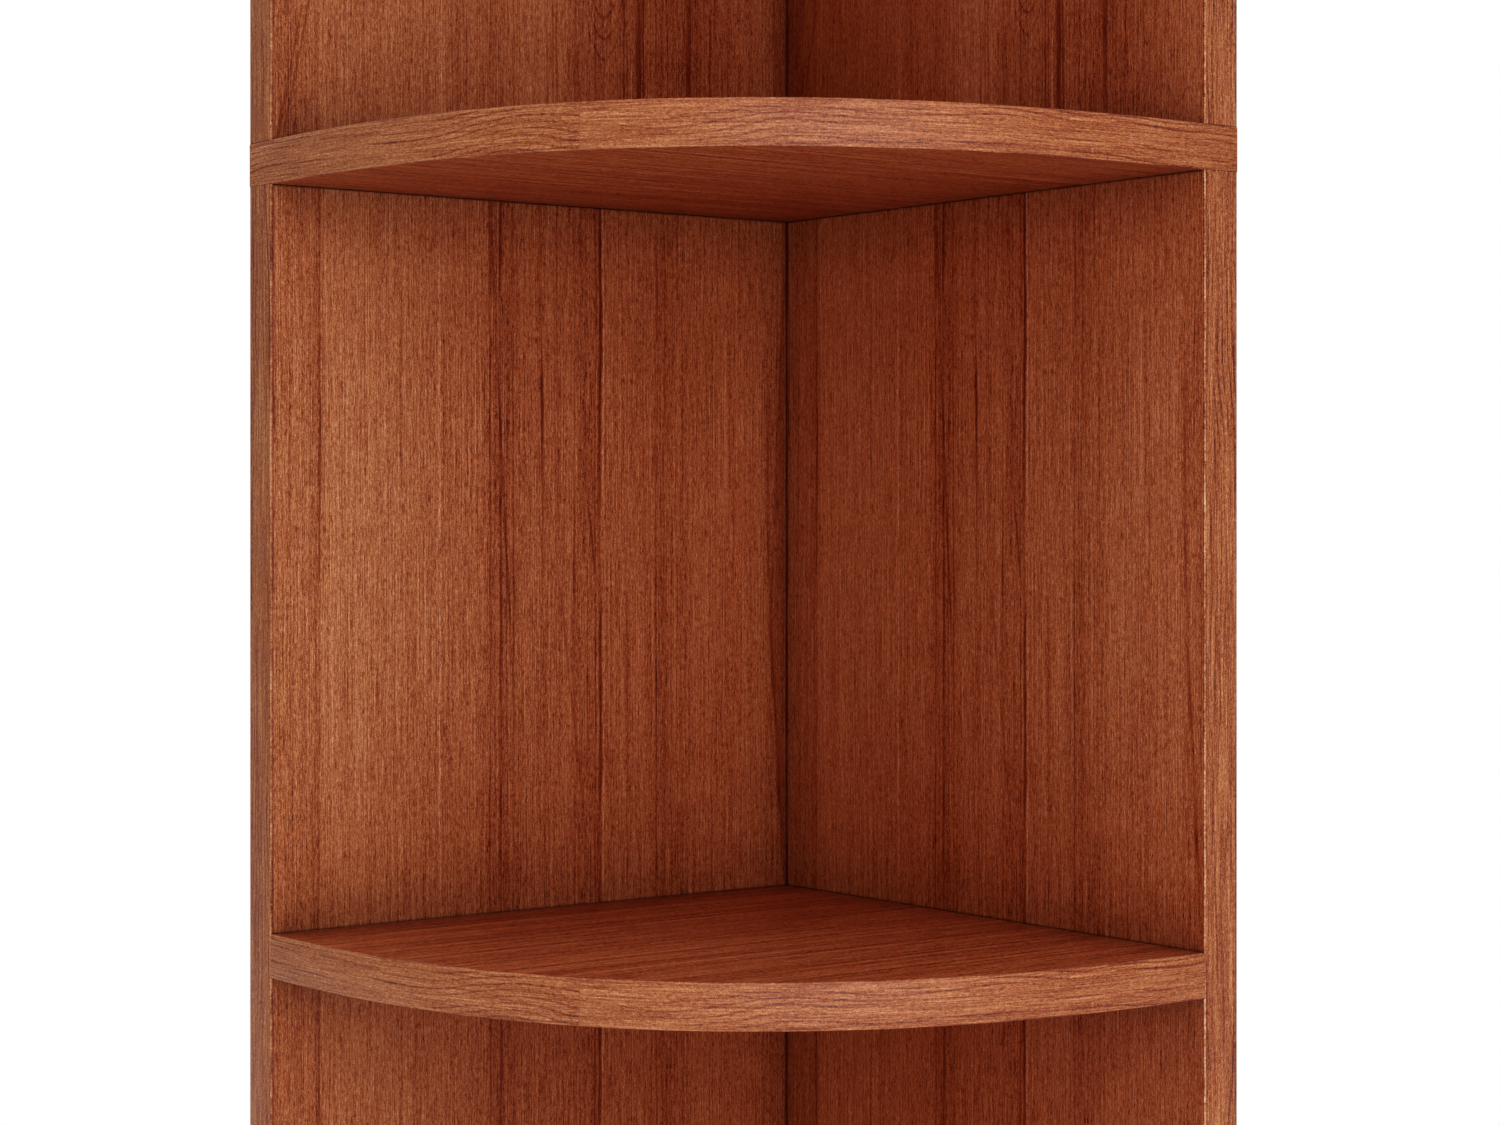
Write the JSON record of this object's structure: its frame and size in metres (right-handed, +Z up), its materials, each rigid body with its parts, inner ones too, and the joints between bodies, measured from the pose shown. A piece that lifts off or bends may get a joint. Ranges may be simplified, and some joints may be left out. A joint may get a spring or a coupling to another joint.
{
  "type": "corner shelf unit",
  "caption": "Tall corner shelf unit: two panels meet at a right angle and carry quarter-round boards with bowed, edge-banded fronts, screwed and cammed together.",
  "frame": {"origin": "on the floor, under the middle of the unit's square footprint", "axes": "+Z up; the room's corner is at low X and high Y, so the left panel's wall is square to X and the right panel's wall is square to Y, and the open bowed front faces high X and low Y"},
  "size_m": [0.2834, 0.2834, 1.637],
  "materials": {
    "laminated_board": "satin wood-grain laminate, red-brown",
    "edge_band": "satin wood-grain edge band, lighter and more orange than the boards",
    "zinc_plated_steel": "bright zinc plate",
    "die_cast_zinc": "dull die-cast zinc",
    "beech": "bare turned beech with compressed flutes",
    "glide_plastic": "moulded brown polyethylene"
  },
  "bodies": {
    "root": {"base_left_front_screw": "zinc_plated_steel", "base_left_rear_screw": "zinc_plated_steel", "base_right_front_screw": "zinc_plated_steel", "base_right_rear_screw": "zinc_plated_steel", "bottom_board": "laminated_board", "bottom_board_band": "edge_band", "front_glide": "glide_plastic", "left_glide": "glide_plastic", "lower_corner_screw_1": "zinc_plated_steel", "lower_corner_screw_2": "zinc_plated_steel", "lower_corner_screw_3": "zinc_plated_steel", "lower_left_panel": "laminated_board", "lower_left_panel_band": "edge_band", "lower_right_panel": "laminated_board", "lower_right_panel_band": "edge_band", "lower_shelf_1": "laminated_board", "lower_shelf_1_band": "edge_band", "lower_shelf_1_left_front_screw": "zinc_plated_steel", "lower_shelf_1_left_rear_screw": "zinc_plated_steel", "lower_shelf_1_right_front_screw": "zinc_plated_steel", "lower_shelf_1_right_rear_screw": "zinc_plated_steel", "lower_shelf_2": "laminated_board", "lower_shelf_2_band": "edge_band", "lower_shelf_2_left_front_screw": "zinc_plated_steel", "lower_shelf_2_left_rear_screw": "zinc_plated_steel", "lower_shelf_2_right_front_screw": "zinc_plated_steel", "lower_shelf_2_right_rear_screw": "zinc_plated_steel", "rear_glide": "glide_plastic", "right_glide": "glide_plastic", "split_board": "laminated_board", "split_board_band": "edge_band", "split_left_bolt": "zinc_plated_steel", "split_left_dowel": "beech", "split_left_lower_cam": "die_cast_zinc", "split_left_upper_cam": "die_cast_zinc", "split_right_bolt": "zinc_plated_steel", "split_right_dowel": "beech", "split_right_lower_cam": "die_cast_zinc", "split_right_upper_cam": "die_cast_zinc", "top_board": "laminated_board", "top_board_band": "edge_band", "top_left_bolt": "zinc_plated_steel", "top_left_cam": "die_cast_zinc", "top_left_dowel": "beech", "top_right_bolt": "zinc_plated_steel", "top_right_cam": "die_cast_zinc", "top_right_dowel": "beech", "upper_corner_screw_1": "zinc_plated_steel", "upper_corner_screw_2": "zinc_plated_steel", "upper_left_panel": "laminated_board", "upper_left_panel_band": "edge_band", "upper_right_panel": "laminated_board", "upper_right_panel_band": "edge_band", "upper_shelf_1": "laminated_board", "upper_shelf_1_band": "edge_band", "upper_shelf_1_left_front_screw": "zinc_plated_steel", "upper_shelf_1_left_rear_screw": "zinc_plated_steel", "upper_shelf_1_right_front_screw": "zinc_plated_steel", "upper_shelf_1_right_rear_screw": "zinc_plated_steel"}
  },
  "joints": []
}
